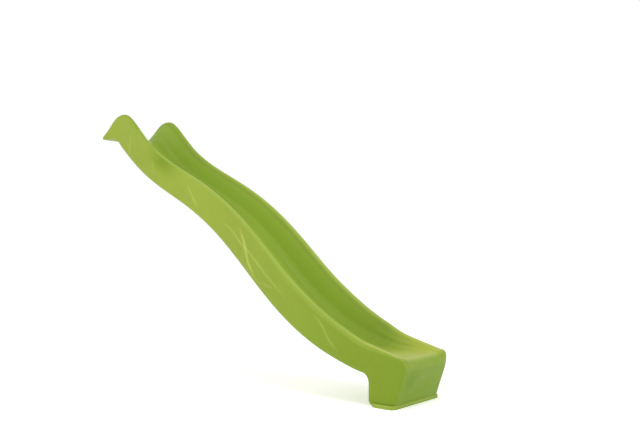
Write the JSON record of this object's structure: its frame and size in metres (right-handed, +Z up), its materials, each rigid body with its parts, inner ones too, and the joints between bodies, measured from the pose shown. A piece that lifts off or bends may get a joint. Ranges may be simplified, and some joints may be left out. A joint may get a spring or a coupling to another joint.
{
  "type": "playground wave slide",
  "caption": "Hollow double-walled plastic wave slide whose flat lip screws onto a raised platform's edge, with raised ears, high side walls, a hump, and a moulded foot at the mouth.",
  "frame": {"origin": "on the lip's flat underside, where it lies on the platform, midway along the line of its screws; the ground is 1.5 m below it", "axes": "+X down the slide, level; +Y to the left of a rider who faces down the slide; +Z up"},
  "size_m": [2.4749, 0.41, 1.6481],
  "materials": {
    "green_polyethylene": "satin",
    "dark_green_plastic": "satin",
    "zinc_plated_steel": "satin",
    "black_rubber": "matte",
    "black_plastic": "satin",
    "brass": "satin"
  },
  "bodies": {
    "root": {"chute_body": "green_polyethylene", "lip_washer_outer_right": "zinc_plated_steel", "lip_screw_outer_right": "zinc_plated_steel", "lip_screw_cap_outer_right": "dark_green_plastic", "lip_washer_inner_right": "zinc_plated_steel", "lip_screw_inner_right": "zinc_plated_steel", "lip_screw_cap_inner_right": "dark_green_plastic", "lip_washer_inner_left": "zinc_plated_steel", "lip_screw_inner_left": "zinc_plated_steel", "lip_screw_cap_inner_left": "dark_green_plastic", "lip_washer_outer_left": "zinc_plated_steel", "lip_screw_outer_left": "zinc_plated_steel", "lip_screw_cap_outer_left": "dark_green_plastic", "spray_nozzle": "dark_green_plastic", "nozzle_seal": "black_rubber", "nozzle_nut": "black_plastic", "hose_tail": "brass", "blow_plug_right": "dark_green_plastic", "blow_plug_left": "dark_green_plastic"}
  },
  "joints": []
}
